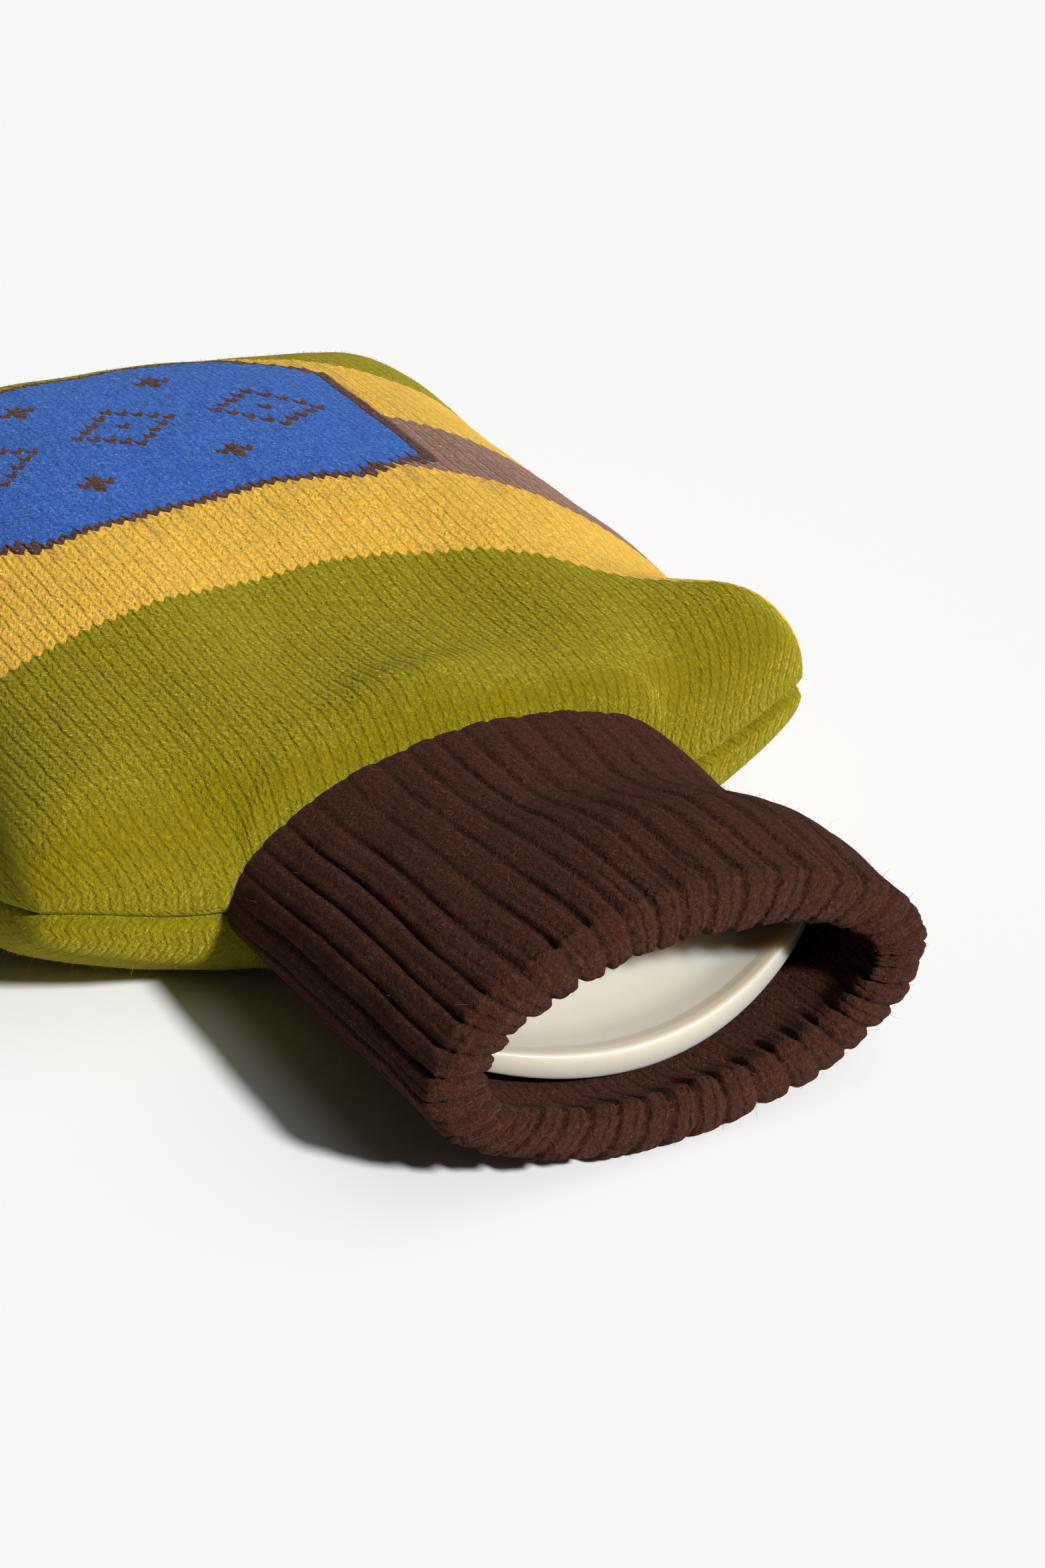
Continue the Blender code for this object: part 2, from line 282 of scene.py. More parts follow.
def blended(tree, share, first, second):
    """A share of the second colour over the first."""
    return node(tree, "ShaderNodeMix", {0: share, 6: first, 7: second}, data_type="RGBA").outputs[2]


def new_material(name, roughness, specular=0.05, sheen=0.0):
    """A material by its roughness, and for felt by the weight of its bloom."""
    material = bpy.data.materials.new(name)
    material.use_nodes = True
    tree = material.node_tree
    shader = tree.nodes["Principled BSDF"]
    shader.inputs["Roughness"].default_value = roughness
    shader.inputs["Specular IOR Level"].default_value = specular
    shader.inputs["Sheen Weight"].default_value = sheen
    shader.inputs["Sheen Roughness"].default_value = 0.35
    return material, tree, shader


def stitches(tree):
    """The V stitches of stockinette, from the counts in the UV map: the relief, the
    numbers of the stitch's wale and course, and the counts."""
    counts = node(tree, "ShaderNodeUVMap", uv_map="knit").outputs["UV"]
    # the stitches wander a little from their even grid
    wander = node(tree, "ShaderNodeTexNoise", {"Vector": counts, "Scale": 0.55, "Detail": 3.0, "Roughness": 0.6})
    shift = vector_sum(tree, "SUBTRACT", wander.outputs["Color"], (0.5, 0.5, 0.5))
    moved = vector_sum(tree, "ADD", counts, tinted(tree, shift, 0.5))
    split = node(tree, "ShaderNodeSeparateXYZ", {0: moved})
    wale, course = split.outputs[0], split.outputs[1]
    # each stitch has two slanting legs: leg is 0 in its middle and 1 between two wales
    leg = sum_up(tree, "MULTIPLY", sum_up(tree, "PINGPONG", wale, 0.5), 2.0)
    slanted = sum_up(tree, "SUBTRACT", course, sum_up(tree, "MULTIPLY", leg, 0.7))
    along = sum_up(tree, "SINE", sum_up(tree, "MULTIPLY", sum_up(tree, "FRACT", slanted), math.pi))
    between = node(tree, "ShaderNodeMapRange", {0: leg, 1: 0.5, 2: 1.0, 3: 1.0, 4: 0.15},
                   interpolation_type="SMOOTHSTEP").outputs[0]
    middle = node(tree, "ShaderNodeMapRange", {0: leg, 1: 0.0, 2: 0.4, 3: 0.80, 4: 1.0},
                  interpolation_type="SMOOTHSTEP").outputs[0]
    across = sum_up(tree, "MULTIPLY", between, middle)
    relief = sum_up(tree, "MULTIPLY", across, sum_up(tree, "MULTIPLY_ADD", along, 0.45, 0.55))
    # the felting fills some stitches more than others
    filled = node(tree, "ShaderNodeTexNoise", {"Vector": counts, "Scale": 0.8, "Detail": 2.0}).outputs["Fac"]
    relief = sum_up(tree, "MULTIPLY", relief, sum_up(tree, "MULTIPLY_ADD", filled, 1.4, 0.25))
    number = sum_up(tree, "FLOOR", sum_up(tree, "ADD", wale, 0.5))
    return relief, number, sum_up(tree, "FLOOR", slanted), counts


def strands(tree, place, scale, thin):
    """Fine curled lines like single fibres: the level lines of a noise."""
    field = node(tree, "ShaderNodeTexNoise", {"Vector": place, "Scale": scale, "Detail": 1.0, "Distortion": 0.8})
    off_line = sum_up(tree, "ABSOLUTE", sum_up(tree, "SUBTRACT", field.outputs["Fac"], 0.5))
    return node(tree, "ShaderNodeMapRange", {0: off_line, 1: 0.0, 2: thin, 3: 1.0, 4: 0.0},
                interpolation_type="SMOOTHSTEP").outputs[0]


def felt(tree, shader, colour, relief, fleck, strand_colours, strand_share):
    """The felted surface: curled fibres over the relief, two tints of them, an uneven dye, and painted shade in
    the hollows of the stitches.
    """
    place = node(tree, "ShaderNodeTexCoord").outputs["Object"]
    grain = node(tree, "ShaderNodeTexNoise",
                 {"Vector": place, "Scale": 650.0, "Detail": 4.0, "Roughness": 0.75, "Distortion": 1.0})
    clumps = node(tree, "ShaderNodeTexNoise", {"Vector": place, "Scale": 230.0, "Detail": 3.0})
    patches = node(tree, "ShaderNodeTexNoise", {"Vector": place, "Scale": 22.0, "Detail": 2.0})
    lines = [strands(tree, place, scale=430.0, thin=0.035), strands(tree, place, scale=790.0, thin=0.05)]
    height = sum_up(tree, "MULTIPLY_ADD", grain.outputs["Fac"], 1.0, relief)
    height = sum_up(tree, "MULTIPLY_ADD", clumps.outputs["Fac"], 1.3, height)
    for line in lines:
        height = sum_up(tree, "MULTIPLY_ADD", line, 0.18, height)
    bump = node(tree, "ShaderNodeBump", {"Height": height, "Distance": 0.0011, "Strength": 0.9})
    tree.links.new(bump.outputs[0], shader.inputs["Normal"])
    tone = sum_up(tree, "MULTIPLY_ADD", grain.outputs["Fac"], fleck, 0.72 - fleck * 0.5)
    # painted shade: the colour is darker where the stitch relief is low, in the hollows between the legs, and
    # lighter on the raised legs
    tone = sum_up(tree, "MULTIPLY_ADD", relief, 0.30, tone)
    tone = sum_up(tree, "MULTIPLY_ADD", patches.outputs["Fac"], 0.24, tone)
    shaded = tinted(tree, colour, tone)
    for line, strand_colour in zip(lines, strand_colours):
        shaded = blended(tree, sum_up(tree, "MULTIPLY", line, strand_share), shaded, strand_colour)
    tree.links.new(shaded, shader.inputs["Base Color"])
    bloom = node(tree, "ShaderNodeGamma", {0: colour, 1: 0.48}).outputs[0]
    tree.links.new(bloom, shader.inputs["Sheen Tint"])


def own_felt(tree, shader, colour, relief):
    """The panels' felt, with lighter and darker fibres of the yarn's own colour."""
    felt(tree, shader, colour, relief, fleck=0.8,
         strand_colours=(tinted(tree, colour, 1.9), tinted(tree, colour, 0.4)), strand_share=0.25)


GREEN = (0.224, 0.178, 0.003)
YELLOW = (0.800, 0.425, 0.034)
BROWN = (0.205, 0.102, 0.068)
BLUE = (0.022, 0.090, 0.420)
OUTLINE = (0.055, 0.022, 0.018)

# Where each stripe begins, in metres along the cloth from the neck, and its colour
STRIPES = ((0.0, GREEN), (0.0825, YELLOW), (0.1255, BROWN), (0.162, YELLOW), (0.211, GREEN))
CHART_LENGTH = 0.30
# The medallion: middle across and along, and half sizes, in metres along the cloth. It has
# eight sides: its corners are cut where the shares of the half sizes add up to CORNER_CUT.
MEDALLION = (-0.012, 0.1645, 0.066, 0.045)
CORNER_CUT = 1.62
EDGE_TO, MARKS_WITHIN = 1.05, 0.84      # as shares of the medallion's size
# Its marks, in stitches: half the way from one diamond to the next, and where the crosses are
DIAMOND_STEP, DIAMOND_RADIUS, CROSS_ROW = 6.0, 4.0, 9.0

front = add_panel("front_cloth", 1, 176, 150)
front_knit, tree, shader = new_material("front_knit", roughness=0.95, sheen=1.0)
relief, wale, course, counts = stitches(tree)
stripe = node(tree, "ShaderNodeValToRGB", {0: sum_up(tree, "MULTIPLY", course, COURSE / CHART_LENGTH)})
stripe.color_ramp.interpolation = "CONSTANT"
ramp = stripe.color_ramp.elements
ramp[0].position, ramp[0].color = 0.0, (*GREEN, 1)
ramp[1].position, ramp[1].color = STRIPES[1][0] / CHART_LENGTH, (*STRIPES[1][1], 1)
for start, colour in STRIPES[2:]:
    ramp.new(start / CHART_LENGTH).color = (*colour, 1)
beside = sum_up(tree, "ABSOLUTE", sum_up(tree, "SUBTRACT", wale, round(MEDALLION[0] / WALE)))
above = sum_up(tree, "ABSOLUTE", sum_up(tree, "SUBTRACT", course, round(MEDALLION[1] / COURSE)))
share_x = sum_up(tree, "DIVIDE", beside, round(MEDALLION[2] / WALE))
share_y = sum_up(tree, "DIVIDE", above, round(MEDALLION[3] / COURSE))
corner = sum_up(tree, "DIVIDE", sum_up(tree, "ADD", share_x, share_y), CORNER_CUT)
inside = sum_up(tree, "MAXIMUM", sum_up(tree, "MAXIMUM", share_x, share_y), corner)
# a row of diamonds, each with a dot, and a row of small crosses on each side of it
from_diamond_x = sum_up(tree, "PINGPONG", beside, DIAMOND_STEP)
from_diamond = sum_up(tree, "ADD", from_diamond_x, above)
from_cross_x = sum_up(tree, "SUBTRACT", DIAMOND_STEP, from_diamond_x)
from_cross_y = sum_up(tree, "ABSOLUTE", sum_up(tree, "SUBTRACT", above, CROSS_ROW))
marks = sum_up(tree, "LESS_THAN", sum_up(tree, "ADD", from_cross_x, from_cross_y), 1.5)
marks = sum_up(tree, "MAXIMUM", marks, sum_up(tree, "LESS_THAN", from_diamond, 0.5))
marks = sum_up(tree, "MAXIMUM", marks, sum_up(tree, "COMPARE", from_diamond, DIAMOND_RADIUS, 0.5))
marks = sum_up(tree, "MULTIPLY", marks, sum_up(tree, "LESS_THAN", inside, MARKS_WITHIN))
field = blended(tree, marks, (*BLUE, 1), (*OUTLINE, 1))
in_edge = sum_up(tree, "LESS_THAN", inside, EDGE_TO)
in_field = sum_up(tree, "LESS_THAN", inside, 1.0)
colour = blended(tree, in_edge, stripe.outputs[0], (*OUTLINE, 1))
colour = blended(tree, in_field, colour, field)
# dark yarn carried behind the yellow shows through in streaks beside the medallion
drawn_out = vector_sum(tree, "MULTIPLY", counts, (1.0, 0.16, 1.0))
streaks = node(tree, "ShaderNodeTexNoise", {"Vector": drawn_out, "Scale": 0.9, "Detail": 2.0}).outputs["Fac"]
streaks = node(tree, "ShaderNodeMapRange", {0: streaks, 1: 0.50, 2: 0.72, 3: 0.0, 4: 0.55}).outputs[0]
fading = node(tree, "ShaderNodeMapRange", {0: inside, 1: 1.0, 2: 1.45, 3: 1.0, 4: 0.0}).outputs[0]
streaks = sum_up(tree, "MULTIPLY", sum_up(tree, "MULTIPLY", streaks, fading),
                 sum_up(tree, "SUBTRACT", 1.0, in_field))
colour = blended(tree, streaks, colour, (*OUTLINE, 1))
# the medallion is brushed, so its stitches hardly show
shown = sum_up(tree, "SUBTRACT", 0.75, sum_up(tree, "MULTIPLY", in_field, 0.5))
own_felt(tree, shader, colour, sum_up(tree, "MULTIPLY", relief, shown))
front.data.materials.append(front_knit)
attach(front, "root")
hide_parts("front_panel")


# ---------------------------------------------------------------- the back panel
# Plain green stockinette of the same lambswool, which lies flat on the surface where the
# weight of the bottle presses it, and is linked to the front all round.

back = add_panel("back_cloth", -1, 140, 110)
back_knit, tree, shader = new_material("back_knit", roughness=0.95, sheen=1.0)
relief = sum_up(tree, "MULTIPLY", stitches(tree)[0], 0.75)
green = node(tree, "ShaderNodeCombineXYZ", enumerate(GREEN)).outputs[0]
own_felt(tree, shader, green, relief)
back.data.materials.append(back_knit)
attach(back, "root")
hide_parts("back_panel")


# ---------------------------------------------------------------- the neck
# A tube of chunky 2 x 2 rib in dark brown lambswool, knitted on to the bag and turned
# down over itself, so that two layers lie together and a soft fold makes the mouth.

LAYERS_APART = 0.0010
RIBS, RIB_DEPTH = 40, 0.0012
MOUTH_Y, CUFF_EDGE_Y, CUFF_END_Y = -0.170, -0.0660, -0.069
MOUTH_HALF_WIDTH = 0.0565
MOUTH_RISE, MOUTH_FALL, MOUTH_Z = 0.0225, 0.0215, 0.0310
MOUTH_SQUARENESS = 1.9
MOUTH_SLANT, MOUTH_SKEW = 0.0090, -0.040
LIP_ROLL, ROLL_LENGTH = 0.0065, 0.0170      # how the soft fold rolls inwards over the mouth
BELLY = 0.0030
CUFF_WALL = 2 * RIB_CLOTH + LAYERS_APART
CUFF_LENGTH = CUFF_END_Y - MOUTH_Y
TUBE_LENGTH = SHOULDER_Y - 0.0005 - MOUTH_Y
LIP = CUFF_WALL / 2
CUFF_STEPS, FOLD_STEPS = 64, 18
COLUMNS = RIBS * 16
RIB_COURSE, OPENED_ROWS = 0.0026, 9.0

# The folded section, by legs: from (back, out) to (back, out), steps, and the way
# that the ribs stand there: 1 outwards, -1 inwards, 0 where they don't show. The leg
# with no places is the half turn of the fold.
FOLD_LEGS = (
    ((CUFF_EDGE_Y - MOUTH_Y, CUFF_WALL), (LIP, CUFF_WALL), CUFF_STEPS, 1),
    (None, None, FOLD_STEPS, None),
    ((LIP, 0.0), (TUBE_LENGTH, 0.0), 30, -1),
    ((TUBE_LENGTH, RIB_CLOTH), (LIP, RIB_CLOTH), 12, 0),
    ((RIB_CLOTH, LIP), (RIB_CLOTH, LIP), 1, 0),
    ((LIP, RIB_CLOTH + LAYERS_APART), (CUFF_EDGE_Y - MOUTH_Y, RIB_CLOTH + LAYERS_APART), 12, 0),
)
fold = []
for start, end, steps, ribs_out in FOLD_LEGS:
    for step in range(steps):
        if start is None:
            turn = (step + 1) * math.pi / (steps + 1)
            fold.append((LIP - LIP * math.sin(turn), LIP + LIP * math.cos(turn), -math.sin(turn), math.cos(turn)))
        else:
            share = step / max(steps - 1, 1)
            fold.append((mix(start[0], end[0], share), mix(start[1], end[1], share), 0.0, ribs_out))
fold.append(fold[0])
fold_length = [0.0]
for first, second in zip(fold, fold[1:]):
    fold_length.append(fold_length[-1] + math.hypot(second[0] - first[0], second[1] - first[1]))
FOLD_ROW = fold_length[CUFF_STEPS + FOLD_STEPS // 2] / RIB_COURSE


def signed_power(x, power):
    """A power that keeps the sign, for the squared ellipses of the sections."""
    return math.copysign(abs(x) ** power, x)


def rib_point(column, row):
    """A point of the neck: round the tube by its column, along the fold by its row."""
    turn = 2 * math.pi * (column % COLUMNS) / COLUMNS
    back, out, back_way, out_way = fold[row]
    place = Vector((math.cos(turn) * 1.3, math.sin(turn) * 1.3, back * 16 + 4 * out / CUFF_WALL))
    # the ribs differ a little in width; each is rounded between two deep valleys, with a
    # shallow groove along its middle
    phase = (turn + 0.022 * math.sin(3 * turn + 1) + 0.012 * math.sin(7 * turn)) * RIBS / (2 * math.pi) % 1
    valley = min(phase, 1 - phase)
    ridge = -0.75 * math.exp(-(valley / 0.11) ** 2) - 0.30 * (1 - 2 * valley) ** 2
    ridge -= 0.12 * math.exp(-((valley - 0.5) / 0.08) ** 2)
    if out < RIB_CLOTH:
        # the ribs hardly show inside
        ridge *= mix(1.0, 0.12, smooth((back - LIP) / 0.012))
    else:
        # they flatten towards the cuff's free edge
        ridge *= 1 - 0.5 * smooth((back / CUFF_LENGTH - 0.80) * 5)
    height = RIB_DEPTH * ridge * (0.85 + 0.5 * noise.noise(place * 2.1)) + 0.0008 * noise.noise(place * 3.4)
    back += height * back_way
    out += height * out_way
    # on its +X side the cuff dips behind its free edge and swells in the middle
    belly = math.sin(2 * math.pi * smooth(back / CUFF_LENGTH)) * smooth(math.cos(turn - 0.5) * 1.4)
    out += BELLY * belly * smooth(out / CUFF_WALL)
    out -= LIP_ROLL * (1 - smooth(back / ROLL_LENGTH)) * (1 - out / CUFF_WALL)
    share = back / CUFF_LENGTH
    # the ribs wander between the mouth and the neck, and lie closer above and below
    turn += noise.noise(place) * 0.06 * smooth(share * 3) * smooth((1.1 - share) * 3)
    angle = turn + 0.07 * math.sin(2 * turn)
    power = 2 / mix(MOUTH_SQUARENESS, NECK_SQUARENESS, share)
    reach_across = mix(MOUTH_HALF_WIDTH, NECK_HALF_WIDTH, share) + out
    if math.sin(angle) > 0:
        reach_up = mix(MOUTH_RISE, NECK_RISE, share) + out
    else:
        reach_up = mix(MOUTH_FALL, NECK_FALL, share) + out
    x = reach_across * signed_power(math.cos(angle), power)
    y = MOUTH_Y + back + (MOUTH_SLANT * (math.sin(angle) + 1) / 2 + MOUTH_SKEW * x) * (1 - share)
    z = mix(MOUTH_Z, NECK_Z, share) + reach_up * signed_power(math.sin(angle), power)
    return x, y, max(z, 0.0004)


neck = knit_sheet("neck_cloth", COLUMNS, len(fold) - 1, rib_point,
                  lambda c, r: (c / COLUMNS * RIBS * 2 + 0.5, fold_length[r] / RIB_COURSE))
rib_knit, tree, shader = new_material("rib_knit", roughness=0.95, sheen=0.25)
relief, _, _, counts = stitches(tree)
dark_brown = node(tree, "ShaderNodeCombineXYZ", enumerate((0.044, 0.0145, 0.0090))).outputs[0]
# the stitches open and show where the cloth is stretched round the fold, with deeper bumps and deeper painted
# shade between them
rows = node(tree, "ShaderNodeSeparateXYZ", {0: counts}).outputs[1]
from_fold = sum_up(tree, "DIVIDE", sum_up(tree, "SUBTRACT", rows, FOLD_ROW), OPENED_ROWS)
opened = sum_up(tree, "MULTIPLY", sum_up(tree, "MULTIPLY", from_fold, from_fold), -1.0)
opened = sum_up(tree, "EXPONENT", opened)
relief = sum_up(tree, "MULTIPLY", relief, sum_up(tree, "MULTIPLY_ADD", opened, 0.60, 0.25))
felt(tree, shader, dark_brown, relief, fleck=1.5,
     strand_colours=((0.14, 0.036, 0.016, 1), (0.11, 0.058, 0.034, 1)), strand_share=0.42)
neck.data.materials.append(rib_knit)
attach(neck, "root")
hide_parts("neck_rib")


# ---------------------------------------------------------------- the bottle
# One moulding of cream rubber: the full body, its neck, and the dished collar with a
# beaded rim, which is all that shows in the mouth of the cover.

BOTTLE_SIDES, BODY_ROWS, BOTTLE_ROWS = 128, 40, 140
BODY_FROM, BODY_TO = 0.93, -0.66            # how far the body reaches along the bag, as v
BOTTLE_ROOM = 0.005
# y of the sides, half width, bottom, top, how far the middle stands forward of the
# sides, how far the sides rise, and the power that squares the section
STATIONS = (
    (-0.0800, 0.0360, 0.0160, 0.0440, 0.0000, 0.0000, 1.00),
    (-0.0950, 0.0340, 0.0160, 0.0430, 0.0000, 0.0000, 1.00),
    (-0.1080, 0.0345, 0.0155, 0.0425, 0.0010, 0.0010, 0.90),
    (-0.1165, 0.0385, 0.0148, 0.0345, 0.0030, 0.0028, 0.75),
    (-0.1230, 0.0430, 0.0137, 0.0250, 0.0062, 0.0055, 0.60),
    (-0.1290, 0.0472, 0.0130, 0.0192, 0.0100, 0.0082, 0.45),
    (-0.1340, 0.0492, 0.0126, 0.0182, 0.0122, 0.0095, 0.35),
    (-0.1352, 0.0499, 0.0122, 0.0183, 0.0127, 0.0099, 0.35),
    (-0.1360, 0.0502, 0.0119, 0.0185, 0.0129, 0.0101, 0.35),
    (-0.1367, 0.0503, 0.0119, 0.0187, 0.0130, 0.0101, 0.35),
    (-0.1376, 0.0504, 0.0119, 0.0188, 0.0131, 0.0102, 0.35),
    (-0.1387, 0.0504, 0.0120, 0.0189, 0.0132, 0.0104, 0.35),
    (-0.1394, 0.0502, 0.0124, 0.0185, 0.0132, 0.0104, 0.35),
    (-0.1397, 0.0498, 0.0131, 0.0178, 0.0132, 0.0104, 0.35),
)


def station_at(place):
    """The stations joined by a smooth curve through them."""
    index = min(int(place), len(STATIONS) - 2)
    share = place - index
    rows = [STATIONS[min(max(index + k, 0), len(STATIONS) - 1)] for k in (-1, 0, 1, 2)]
    return [b + 0.5 * share * (c - a + share * (2 * a - 5 * b + 4 * c - d + share * (3 * (b - c) + d - a)))
            for a, b, c, d in zip(*rows)]


def bottle_point(column, row):
    """A point of the bottle: rings from the far end to the collar's rim."""
    turn = 2 * math.pi * column / BOTTLE_SIDES
    across = math.cos(turn)
    if row < BODY_ROWS:
        v = mix(BODY_FROM, BODY_TO, row / (BODY_ROWS - 1))
        side = 1 if math.sin(turn) >= 0 else -1
        x, y = outline(across, v, 2 * BOTTLE_ROOM)
        depth = (FRONT_CROWN if side > 0 else BACK_DEPTH) * fullness(across, v)
        if side > 0:
            depth -= max(0.0, front_dips(x, y))
        reach = max(0.0, depth - BOTTLE_ROOM) * abs(math.sin(turn)) ** 0.2
        return x, y, max(BOTTLE_ROOM, seam_height(across, v) + side * reach)
    place = (row - BODY_ROWS) / (BOTTLE_ROWS - BODY_ROWS) * (len(STATIONS) - 1)
    y, half_width, bottom, top, forward, rise, power = station_at(place)
    z = (bottom + top) / 2 + (top - bottom) / 2 * signed_power(math.sin(turn), power)
    return half_width * across, y - forward * (1 - across ** 2), z + rise * across ** 2


bm = bmesh.new()
loops = [[bm.verts.new(bottle_point(side, row)) for side in range(BOTTLE_SIDES)]
         for row in range(BOTTLE_ROWS + 1)]
for first, second in zip(loops, loops[1:]):
    for side in range(BOTTLE_SIDES):
        after = (side + 1) % BOTTLE_SIDES
        bm.faces.new((first[side], first[after], second[after], second[side]))
# each end is closed by a strip of faces from one side to the other
for loop in (loops[0], loops[-1]):
    for side in range(BOTTLE_SIDES // 2):
        bm.faces.new(dict.fromkeys((loop[side], loop[side + 1], loop[-side - 1], loop[-side])))
bmesh.ops.recalc_face_normals(bm, faces=bm.faces)
mesh = bpy.data.meshes.new("bottle_moulding")
bm.to_mesh(mesh)
bm.free()
mesh.shade_smooth()
mesh.set_sharp_from_angle(angle=math.radians(40))
bottle = bpy.data.objects.new("bottle_moulding", mesh)
bpy.context.scene.collection.objects.link(bottle)
cream_rubber, tree, shader = new_material("cream_rubber", roughness=0.42, specular=0.35)
place = node(tree, "ShaderNodeTexCoord").outputs["Object"]
cloudy = node(tree, "ShaderNodeTexNoise", {"Vector": place, "Scale": 30.0, "Detail": 3.0}).outputs["Fac"]
grain = node(tree, "ShaderNodeTexNoise", {"Vector": place, "Scale": 1400.0, "Detail": 2.0}).outputs["Fac"]
bump = node(tree, "ShaderNodeBump", {"Height": grain, "Distance": 0.0001, "Strength": 0.3})
tree.links.new(blended(tree, cloudy, (0.57, 0.515, 0.42, 1), (0.63, 0.575, 0.485, 1)), shader.inputs["Base Color"])
tree.links.new(bump.outputs[0], shader.inputs["Normal"])
shader.inputs["Subsurface Weight"].default_value = 0.85
shader.inputs["Subsurface Radius"].default_value = (1.0, 0.7, 0.4)
shader.inputs["Subsurface Scale"].default_value = 0.014
bottle.data.materials.append(cream_rubber)
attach(bottle, "root")
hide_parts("bottle")


# ---------------------------------------------------------------- loose fibres
# The felting leaves a haze of short curled wool fibres all over the cloth, and longer
# ones along the seam and the free edge. Each is a fine ribbon rooted in the cloth.

GREEN_WOOL = ((0.30, 0.25, 0.008), (0.22, 0.18, 0.005), (0.40, 0.34, 0.03))
YELLOW_WOOL = ((0.85, 0.50, 0.10), (0.75, 0.42, 0.06), (0.90, 0.62, 0.22))
BROWN_WOOL = ((0.22, 0.10, 0.06), (0.16, 0.07, 0.04), (0.34, 0.18, 0.10))
BLUE_WOOL = ((0.03, 0.12, 0.55), (0.02, 0.07, 0.40), (0.10, 0.20, 0.60))
RIB_WOOL = ((0.070, 0.026, 0.018), (0.14, 0.045, 0.022), (0.045, 0.018, 0.014), (0.16, 0.085, 0.045),
            (0.075, 0.055, 0.055))
INNER_WOOL = ((0.19, 0.105, 0.048), (0.13, 0.065, 0.030), (0.24, 0.150, 0.075), (0.07, 0.026, 0.018))
ROOT_DEPTH = 0.0003
INNER_FROM_ROW = FOLD_ROW + 5
NECK_WOOL_END = SHOULDER_Y + 0.002
OFF_FLOOR, SEAM_WOOL_TOP = 0.0015, 0.03
knit_counts = front.data.uv_layers["knit"].data
neck_counts = neck.data.uv_layers["knit"].data


def add_fibres(name, cloth, count, lengths, width, steps, lean, tone_at, keep, seed):
    """Fibres on the faces that keep() accepts. They lean over, curl and taper to a point."""
    rng = random.Random(seed)
    faces = [face for face in cloth.data.polygons if keep(face.center)]
    vertices = cloth.data.vertices
    bm = bmesh.new()
    tones = bm.loops.layers.float_color.new("tone")
    for face in rng.choices(faces, [face.area for face in faces], k=count):
        a, b = rng.random(), rng.random()
        corner, first, second = (vertices[face.vertices[k]].co for k in (0, 1, len(face.vertices) - 1))
        normal = Vector(face.normal)
        point = corner + (first - corner) * a + (second - corner) * b - normal * ROOT_DEPTH
        heading = Vector((rng.gauss(0, 1), rng.gauss(0, 1), rng.gauss(0, 1))).normalized()
        heading = (normal + heading * lean).normalized()
        curl = Vector((rng.gauss(0, 1), rng.gauss(0, 1), rng.gauss(0, 1)))
        stride = rng.uniform(*lengths) * rng.uniform(0.4, 1.0) / steps
        wide = heading.cross(curl).normalized() * width / 2
        tone = rng.choice(tone_at(face))
        shade = rng.uniform(0.6, 1.25)
        pair = None
        for step in range(steps + 1):
            point = Vector((point.x, point.y, max(point.z, 0.0003)))
            if step < steps:
                taper = 1 - 0.6 * step / steps
                ends = bm.verts.new(point + wide * taper), bm.verts.new(point - wide * taper)
                strip = (pair[0], pair[1], ends[1], ends[0]) if pair else None
            else:
                strip = (pair[0], pair[1], bm.verts.new(point))
            if strip:
                for loop in bm.faces.new(strip).loops:
                    loop[tones] = (*(part * shade for part in tone), 1)
            pair = ends
            point = point + heading * stride
            heading = (heading + curl * 1.5 / steps).normalized()
    mesh = bpy.data.meshes.new(name)
    bm.to_mesh(mesh)
    bm.free()
    fibres = bpy.data.objects.new(name, mesh)
    bpy.context.scene.collection.objects.link(fibres)
    material, tree, shader = new_material(name + "_wool", roughness=0.7)
    tint = node(tree, "ShaderNodeVertexColor", layer_name="tone").outputs["Color"]
    tree.links.new(tint, shader.inputs["Base Color"])
    mesh.materials.append(material)
    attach(fibres, "root")


def stripe_wool(face):
    """The wool of the stripe, or of the medallion, that a face of the front lies in."""
    wale, course = knit_counts[face.loop_start].uv
    share_x = abs(wale - MEDALLION[0] / WALE) * WALE / MEDALLION[2]
    share_y = abs(course - MEDALLION[1] / COURSE) * COURSE / MEDALLION[3]
    if max(share_x, share_y, (share_x + share_y) / CORNER_CUT) < 1:
        return BLUE_WOOL
    stripe = sum(course * COURSE >= start for start, colour in STRIPES) - 1
    return (GREEN_WOOL, YELLOW_WOOL, BROWN_WOOL, YELLOW_WOOL, GREEN_WOOL)[stripe]


def neck_wool(face):
    """Inside the mouth the wool has felted to a lighter brown haze."""
    return INNER_WOOL if neck_counts[face.loop_start].uv[1] > INNER_FROM_ROW else RIB_WOOL


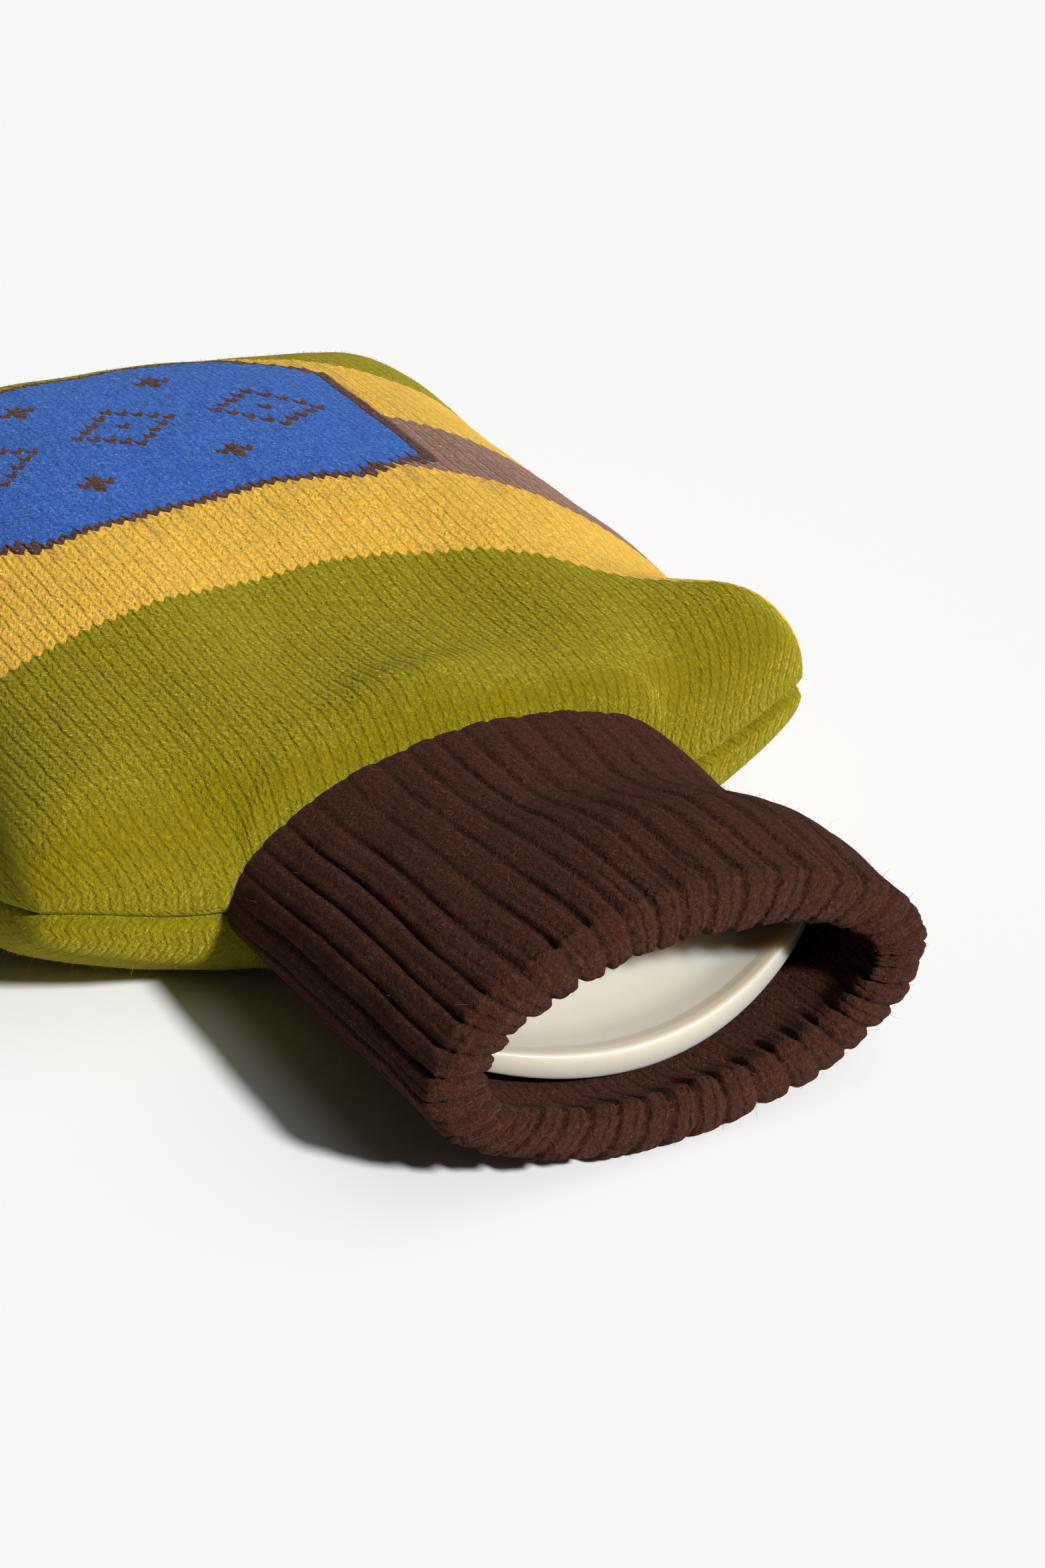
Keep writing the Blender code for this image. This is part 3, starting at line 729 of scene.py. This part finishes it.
add_fibres("neck_fuzz", neck, count=39000, lengths=(0.0010, 0.0026), width=0.00008, steps=3,
           lean=2.0, tone_at=neck_wool, keep=lambda at: at.y < NECK_WOOL_END, seed=3)
add_fibres("neck_curls", neck, count=2500, lengths=(0.003, 0.006), width=0.00007, steps=6,
           lean=1.6, tone_at=lambda face: RIB_WOOL, keep=lambda at: at.y < NECK_WOOL_END, seed=4)
add_fibres("front_fuzz", front, count=48000, lengths=(0.0008, 0.0022), width=0.00009, steps=2,
           lean=1.8, tone_at=stripe_wool, keep=lambda at: True, seed=5)
add_fibres("back_fuzz", back, count=12000, lengths=(0.001, 0.0026), width=0.00008, steps=3,
           lean=1.8, tone_at=lambda face: GREEN_WOOL, keep=lambda at: at.z > OFF_FLOOR, seed=6)
add_fibres("seam_curls", back, count=900, lengths=(0.003, 0.006), width=0.00007, steps=6,
           lean=1.2, tone_at=lambda face: GREEN_WOOL, keep=lambda at: OFF_FLOOR < at.z < SEAM_WOOL_TOP, seed=7)


# ---------------------------------------------------------------- floor and light
# The studio: a plain white paper sweep, a bright window light from the right, and the
# white wall and ceiling, which fill the shadows softly.

bm = bmesh.new()
bmesh.ops.create_grid(bm, x_segments=1, y_segments=1, size=40.0)
mesh = bpy.data.meshes.new("floor")
bm.to_mesh(mesh)
bm.free()
floor = bpy.data.objects.new("floor", mesh)
floor.location.z = -0.0002
bpy.context.scene.collection.objects.link(floor)
paper, tree, shader = new_material("white_paper", roughness=0.9)
shader.inputs["Base Color"].default_value = (0.87, 0.87, 0.87, 1)
mesh.materials.append(paper)

# each light by its irradiance, its width in degrees and the way towards it
for name, irradiance, spread, toward in (("window", 4.6, 6.0, (0.237, -0.770, 0.592)),
                                         ("wall", 0.80, 80.0, (0.55, -0.35, 0.76))):
    light = bpy.data.lights.new(name, "SUN")
    light.energy = irradiance
    light.angle = math.radians(spread)
    lamp = bpy.data.objects.new(name, light)
    lamp.rotation_mode = "QUATERNION"
    lamp.rotation_quaternion = Vector(toward).to_track_quat("Z", "Y")
    bpy.context.scene.collection.objects.link(lamp)

world = bpy.data.worlds.new("white_room")
world.use_nodes = True
world.node_tree.nodes["Background"].inputs["Color"].default_value = (1.0, 1.0, 1.0, 1)
world.node_tree.nodes["Background"].inputs["Strength"].default_value = 0.02
bpy.context.scene.world = world
# a studio photograph with no film look: lit white paper comes out white
bpy.context.scene.view_settings.view_transform = "Standard"
